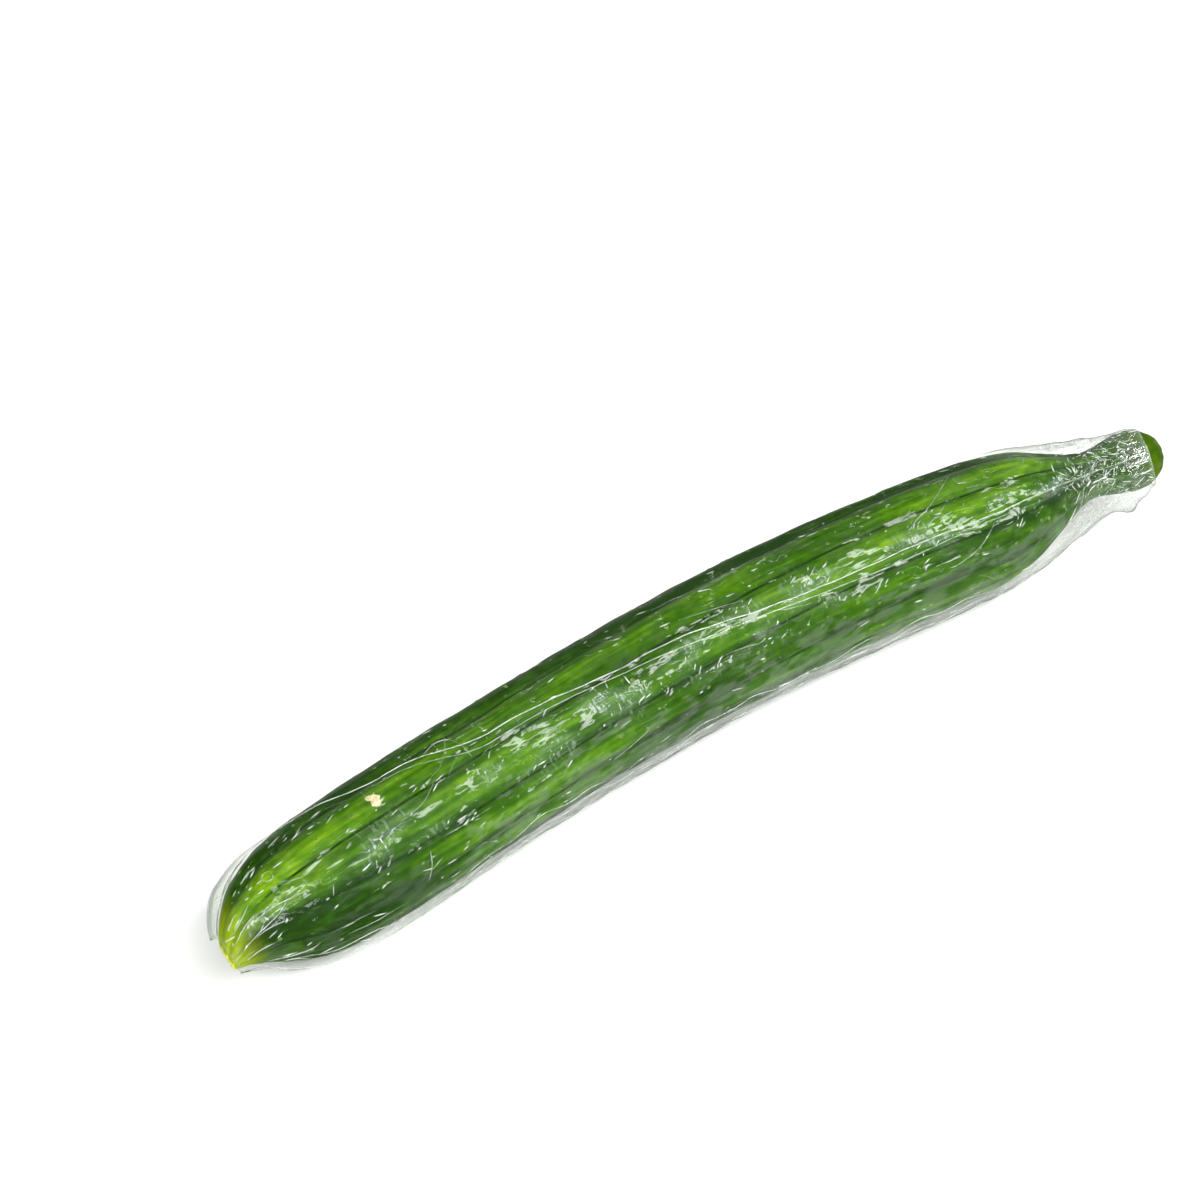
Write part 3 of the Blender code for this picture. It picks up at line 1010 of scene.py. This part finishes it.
def film_off(distance, radius, angle):
    """How far the film stands off the fruit: tight on the lobes, slack low at the front."""
    wave = 1.0 + 0.35 * np.sin(distance * math.tau / SLACK_WAVE + 0.4)
    slack = SLACK * wave * smooth_step(0.002, 0.022, distance)
    slack = slack + NECK_SLACK * bell(distance - NECK_SLACK_AT, NECK_SLACK_LENGTH)
    slack = slack * fall(0.316, 0.324, distance)
    pocket = bell(turn(angle, SLACK_ANGLE), SLACK_WIDTH)
    sink = GROOVE_FOLLOW * (1.0 - pocket) * groove_depth(distance, radius, angle)
    return FILM_GAP + 0.0006 * pocket + slack * pocket - sink, pocket


def film_folds(distance, angle):
    """What stands out of the film alone: its seam, the seam's loose tail and the gathered tag."""
    length = np.where(distance > TAIL_PEAK, TAIL_LENGTH, 0.006)
    tail = TAIL_HEIGHT * bell(distance - TAIL_PEAK, length)
    seam = bell(turn(angle, seam_angle(distance)), SEAM_WIDTH)
    fold = (0.00025 + tail) * seam * fall(0.315, 0.323, distance)
    tag = bell(distance - TAG_AT, TAG_LENGTH) * bell(turn(angle, TAG_ANGLE), TAG_WIDTH)
    return fold + TAG_HEIGHT * tag, seam * tail / TAIL_HEIGHT, tag


def film_shape(distance, radius, angle):
    """How far the film's outer face stands off, and the fields that its finish reads."""
    off, pocket = film_off(distance, radius, angle)
    fold, flap, tag = film_folds(distance, angle)
    straight = laid_straight(distance, radius, angle)
    side = side_of(angle)
    neck = smooth_step(*NECK_WEB, distance) * (1.0 - 0.8 * smooth_step(*KNOB_TAUT, distance))
    tip = fall(*TIP_PLEATS, distance)
    crumple = noise_at(straight, 0.0045, 0.75)
    ruck = noise_at(straight * (1.0, 0.5, 0.5), 0.0060)
    cloud = noise_at(straight, 0.0062, 0.40)
    pleats = np.sin(PLEATS * angle + 3.0 * noise_at(straight, 0.012))
    off = off + neck * CRUMPLE_HEIGHT * crumple + pocket * RUCK_HEIGHT * ruck
    off = off + PLEAT_HEIGHT * tip * pleats + WAVE_HEIGHT * noise_at(straight, 0.0045, 0.3)
    off = off + RIPPLE_HEIGHT * (1.0 - neck) * noise_at(straight, 0.0022, 0.6)
    off = off + tag * TAG_CRUMPLE * crumple + fold
    sheen = band(angle, *SHEEN)
    clump = smooth_step(-0.05, 0.35, cloud)
    middle, width = np.radians(SHEEN_EDGE)
    beside = bell(np.abs(turn(angle, math.radians(SHEEN[0]))) - middle, width)
    gather = bell(distance - GATHER[0], GATHER[1])
    # Creases gather in the glint and sheen bands and at the neck: real creases, whose white is
    # partly painted glint
    creased = (0.06 + 0.60 * band(angle, *GLINTS) * clump + 0.6 * sheen * clump + 0.20 * pocket
               + 0.20 * tip + 1.3 * beside * smooth_step(0.05, 0.30, ruck)
               + 2.0 * neck * (0.4 + 0.6 * smooth_step(-0.2, 0.3, crumple))
               + 1.5 * gather * sheen)
    away = 0.15 + 0.85 * smooth_step(*LOOSE_STARTS, distance)
    low_tip = smooth_step(118, 142, side) * fall(*LOW_TIP, distance)
    # The milky patches gather in the sheen band, as painted sheen
    patch = smooth_step(0.0, 0.28, cloud) * (0.16 + 0.84 * sheen)
    knob_sheen = bell(distance - KNOB_SHEEN[0], KNOB_SHEEN[1])
    fields = {"straight": straight, "axis_way": along_axis(distance), "neck": neck,
              "patch": patch * (1.0 - 0.7 * low_tip) * (1.0 - 0.7 * neck),
              "loose": np.clip(pocket * away + tag, 0, 1),
              # Gloss kept: low on the far side and at the blossom end's lower front, painted shade
              # in the film's reflection
              "painted_shade_gloss": (0.08 + 0.92 * smooth_step(66, 108, side)) * (1.0 - 0.6 * low_tip),
              "low": smooth_step(158, 200, side) * away,
              "flap": np.maximum(flap, tag),
              "creased": creased * (1.0 - flap),
              "bridge": (smooth_step(*BRIDGE_STARTS, distance)
                         * (1.0 - 0.7 * smooth_step(80, 118, side))),
              "comb": sheen * (1.0 - neck),
              "gather": gather * band(angle, *GATHER_BAND),
              "knob_sheen": knob_sheen * band(angle, *KNOB_BAND)}
    return np.maximum(off, THINNEST_GAP), fields


def make_film(settings):
    """The shrunk sleeve: an outer and an inner wall that meet at its two end rims."""
    outline = Outline(FILM_OUTLINE)
    outline.first = outline.ring_of(lambda s, r: (r >= BLOSSOM_HOLE) & (s < 0.01))
    outline.last = outline.ring_of(lambda s, r: s >= STEM_HOLE)
    slant = outline.last - outline.ring_of(lambda s, r: s >= STEM_HOLE - 2 * STEM_HOLE_SLANT)
    columns = np.arange(FILM_AROUND) / FILM_AROUND * math.tau
    share, column = np.meshgrid(np.linspace(0, 1, FILM_RINGS), columns, indexing="ij")
    angle = column + seam_angle(outline.at(share)[0])
    trim = 0.5 + 0.5 * np.cos(angle - STEM_HOLE_FACES)
    trim *= slant / (outline.last - outline.first) * smooth_step(0.85, 1.0, share)
    distance, radius, lean, rise = outline.at(share - trim)
    off, fields = film_shape(distance, radius, angle)
    fields["rim"] = bell(share, 0.006) + bell(1.0 - share, 0.006)
    fields["creased"] *= HEIGHT + (radius + off) * np.sin(angle) > LOWEST_CREASE
    walls = []
    for wall in (0.0, FILM_SHEET):
        points = place(distance + lean * (off - wall), radius + rise * (off - wall), angle)
        points[..., 2] = np.maximum(points[..., 2], wall)
        walls.append(move_to_frame(points))
    points = np.concatenate((walls[0], walls[1][::-1]))
    fields = {name: np.concatenate((field, field[::-1])) for name, field in fields.items()}
    fields["creased"][FILM_RINGS:] = 0.0
    film = new_object("shrink_film", points, grid_faces(2 * FILM_RINGS, FILM_AROUND, closed=True),
                      **fields)
    for finish in (film_finish(settings), lining_finish()):
        film.data.materials.append(finish)
    inner = np.arange(2 * FILM_RINGS) >= FILM_RINGS - 1
    film.data.polygons.foreach_set("material_index", np.repeat(inner, FILM_AROUND).astype(np.int32))
    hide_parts("shrink_wrap")
    belongs(film, FILM_SLOT)


def make_creases(settings, film):
    """Sharp little creases, each a thin closed spindle lying on the outer wall; their white is
    partly painted glint.
    """
    rule = Rule("film_creases", {"Density": settings.creases, "Length": settings.crease_length,
                                 "Seed": 3}, crease_finish("crease_glint", 0.85, 0.25, 0.75))
    spindle = rule.node("GeometryNodeMeshUVSphere", {}, {"Segments": 5, "Rings": 4, "Radius": 0.5})
    across = rule.field("comb")
    long = rule.inputs["Length"] * rule.random(0.25, 1.0, 7) ** 2.6 * (1.0 - across * 0.5)
    wide = rule.inputs["Length"] * rule.random(0.028, 0.068, 8)
    scale = rule.node("ShaderNodeCombineXYZ", {}, {0: long, 1: wide, 2: wide * 0.6})
    spin = rule.random(-0.35, 0.35, 9) + across * rule.random(0.3, 1.9, 10)
    spin = spin + rule.field("neck") * rule.random(-0.7, 0.7, 11) + rule.field("gather") * 1.5
    made = rule.scatter(rule.inputs["Density"] * rule.field("creased"), spindle, scale, spin)
    belongs(rule.grow("film_creases", made, film), FILM_SLOT)


def on_film(path):
    """Points on the film's outer face and their straight places, for distances and angles."""
    outline = Outline(FILM_OUTLINE)
    distance, angle = np.array(path, float).T
    ring = np.interp(distance, outline.points[FACE_POINTS:, 0], outline.rings[FACE_POINTS:])
    distance, radius, lean, rise = outline.at(ring / outline.last)
    off, fields = film_shape(distance, radius, angle)
    points = place(distance + lean * off, radius + rise * off, angle)
    points[..., 2] = np.maximum(points[..., 2], LOWEST_FOLD)
    return move_to_frame(points), fields["straight"]


def random_folds(count):
    """Paths of thin folds: long on the body, short and steep at the neck, fanned out at the tip."""
    random = np.random.default_rng(29)
    for number in range(count):
        low, high, longest, sway, thick, radius = STREWN_FOLDS[number % len(STREWN_FOLDS)]
        at = random.uniform(low, high)
        around = random.uniform(0.0, math.tau)
        long = longest * random.uniform(0.25, 1.0)
        heading = random.normal(0.0, sway)
        curl = random.normal(0.0, 0.05)
        path = []
        for _step in range(FOLD_STEPS):
            path.append((at, around))
            at += math.cos(heading) * long / FOLD_STEPS
            around += math.sin(heading) * long / FOLD_STEPS / radius
            heading += curl * random.uniform(0.3, 1.7)
        width = thick * random.uniform(0.6, 1.4)
        near = min(abs(at - BUBBLE[0]) / 0.006 + abs(turn(around, math.radians(BUBBLE[1]))) / 0.5
                   for at, around in path)
        if near > 1.0:
            yield path, width


def placed_folds():
    """Paths of the folds that stand out: the seam and its second edge, strands and creases."""
    seam = np.linspace(*SEAM_REACH, 260)
    wobble = 0.02 * np.sin(seam / 0.0065) + 0.012 * np.sin(seam / 0.0023)
    yield np.stack((seam, seam_angle(seam) + wobble * 0.4), axis=1), 1.0
    second = seam[40:230]
    edge = seam_angle(second) + math.radians(SEAM_OVERLAP) + 0.03 * np.sin(second / 0.011)
    yield np.stack((second, edge), axis=1), 0.55
    for at, around, thick in EDGE_STRANDS:
        strand = np.linspace(at, at + STRAND_LENGTH, 70)
        wave = 0.05 * np.sin(strand / 0.009 + around) + 0.035 * np.sin(strand / 0.0031)
        yield np.stack((strand, math.radians(around) + wave), axis=1), thick
    for path, thick in FOLD_PATHS:
        yield smooth_outline([(at, math.radians(around)) for at, around in path])[::4], thick
    circle = np.linspace(0.0, math.tau, 25)
    at, around = BUBBLE[0], math.radians(BUBBLE[1])
    yield np.stack((at + BUBBLE_SIZE * np.cos(circle),
                    around + BUBBLE_SIZE / BUBBLE_RADIUS * np.sin(circle)), axis=1), 0.5


def make_folds(settings):
    """The seam's bead and the long thin folds, as tubes that taper towards their ends."""
    points, straight, edges, thick = [], [], [], []
    for path, width in (*placed_folds(), *random_folds(settings.folds)):
        there, flat = on_film(path)
        last = len(thick) + len(there) - 1
        edges += [(number, number + 1) for number in range(len(thick), last)]
        taper = np.sin(np.linspace(0.06, math.pi - 0.06, len(there))) ** 0.5
        points.append(there)
        straight.append(flat)
        thick += (taper * width).tolist()
    lines = new_object("fold_lines", np.concatenate(points), [], edges=edges,
                       straight=np.concatenate(straight), thick=np.array(thick))
    rule = Rule("film_folds", {"Width": settings.fold_width},
                crease_finish("fold_bead", 0.55, 0.20, 0.35))
    curve = rule.node("GeometryNodeMeshToCurve", {}, {"Mesh": rule.inputs["Base"]})
    ring = rule.node("GeometryNodeCurvePrimitiveCircle", {}, {"Resolution": 6, "Radius": 0.5})
    made = rule.node("GeometryNodeCurveToMesh", {},
                     {"Curve": curve, "Profile Curve": ring, "Fill Caps": True,
                      "Scale": rule.inputs["Width"] * rule.field("thick")})
    folds = rule.grow("film_folds", made, lines)
    bpy.data.objects.remove(lines)
    belongs(folds, FILM_SLOT)


class CUCUMBER_OT_film(bpy.types.Operator):
    """Makes the clear shrink film round the fruit"""

    bl_idname = "cucumber.film"
    bl_label = "Film"

    def execute(self, context):
        make_film(context.scene.cucumber_film)
        return {"FINISHED"}


class CUCUMBER_OT_creases(bpy.types.Operator):
    """Strews the film with sharp little creases"""

    bl_idname = "cucumber.creases"
    bl_label = "Creases"

    def execute(self, context):
        make_creases(context.scene.cucumber_film, context.scene.objects["shrink_film"])
        return {"FINISHED"}


class CUCUMBER_OT_folds(bpy.types.Operator):
    """Makes the seam's bead and the long thin folds of the film"""

    bl_idname = "cucumber.folds"
    bl_label = "Seam and folds"

    def execute(self, context):
        make_folds(context.scene.cucumber_film)
        return {"FINISHED"}


def aim(made, spot, target):
    """Puts a light or the camera on its spot and turns it to its target."""
    made.location = spot
    made.rotation_euler = (Vector(target) - made.location).to_track_quat("-Z", "Y").to_euler()


def softbox(name, spot, target, size, power):
    light = bpy.data.lights.new(name, "AREA")
    light.shape = "RECTANGLE"
    light.size, light.size_y = size
    light.energy = power
    aim(add_object(name, light), spot, target)


def floor_finish():
    f = Finish("studio_floor")
    colour = f.blend(f.grain(f.own_place(), 3.0, 3.0), *FLOOR_WHITES)
    return f.solid(colour, 0.9, Specular_IOR_Level=0.1, Emission_Color=colour,
                   Emission_Strength=FLOOR_GLOW)


def make_studio(settings):
    """A pale floor, soft light from above and all round, and the camera."""
    scene = bpy.context.scene
    scene.view_settings.view_transform = "Standard"
    corners = FLOOR_REACH * np.array(((-1, -1, 0), (1, -1, 0), (1, 1, 0), (-1, 1, 0)))
    floor = new_object("studio_floor", corners, [[0, 1, 2, 3]])
    floor.data.materials.append(floor_finish())
    world = bpy.data.worlds.new("studio_air")
    world.use_nodes = True
    air = world.node_tree.nodes["Background"]
    air.inputs["Color"].default_value = (1.0, 1.0, 1.0, 1.0)
    air.inputs["Strength"].default_value = settings.fill
    scene.world = world
    softbox("key_light", *KEY_LIGHT, settings.key_power)
    softbox("back_light", *BACK_LIGHT, settings.back_power)
    softbox("side_light", *SIDE_LIGHT, settings.side_power)
    camera = add_object("camera", bpy.data.cameras.new("camera"))
    camera.data.lens = settings.lens
    camera.data.sensor_width = SENSOR_WIDTH
    aim(camera, CAMERA_PLACE, CAMERA_TARGET)
    scene.camera = camera


class CUCUMBER_OT_studio(bpy.types.Operator):
    """Makes the floor, the lights and the camera"""

    bl_idname = "cucumber.studio"
    bl_label = "Studio"

    def execute(self, context):
        make_studio(context.scene.cucumber_studio)
        return {"FINISHED"}


class CUCUMBER_PT_panel(bpy.types.Panel):
    """Lists the steps that make the cucumber"""

    bl_idname = "CUCUMBER_PT_panel"
    bl_label = "Cucumber in shrink wrap"
    bl_space_type = "VIEW_3D"
    bl_region_type = "UI"
    bl_category = "Cucumber"

    def draw(self, context):
        for operator in OPERATORS:
            self.layout.operator(operator.bl_idname)
        for name, group in GROUPS.items():
            box = self.layout.box()
            for setting in group.__annotations__:
                box.prop(getattr(context.scene, name), setting)


OPERATORS = (CUCUMBER_OT_skin, CUCUMBER_OT_pores, CUCUMBER_OT_scar, CUCUMBER_OT_film,
             CUCUMBER_OT_creases, CUCUMBER_OT_folds, CUCUMBER_OT_studio)
GROUPS = {"cucumber_skin": SkinSettings, "cucumber_film": FilmSettings,
          "cucumber_studio": StudioSettings}


def register():
    for group in GROUPS.values():
        bpy.utils.register_class(group)
    for name, group in GROUPS.items():
        setattr(bpy.types.Scene, name, bpy.props.PointerProperty(type=group))
    for made in (*OPERATORS, CUCUMBER_PT_panel):
        bpy.utils.register_class(made)


def unregister():
    for made in (CUCUMBER_PT_panel, *reversed(OPERATORS)):
        bpy.utils.unregister_class(made)
    for name in GROUPS:
        delattr(bpy.types.Scene, name)
    for group in GROUPS.values():
        bpy.utils.unregister_class(group)


def main():
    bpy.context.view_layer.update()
    frame["shift"] = find_shift()
    register()
    bpy.ops.cucumber.skin()
    bpy.ops.cucumber.pores()
    bpy.ops.cucumber.scar()
    bpy.ops.cucumber.film()
    bpy.ops.cucumber.creases()
    bpy.ops.cucumber.folds()
    bpy.ops.cucumber.studio()


if __name__ == "__main__":
    main()
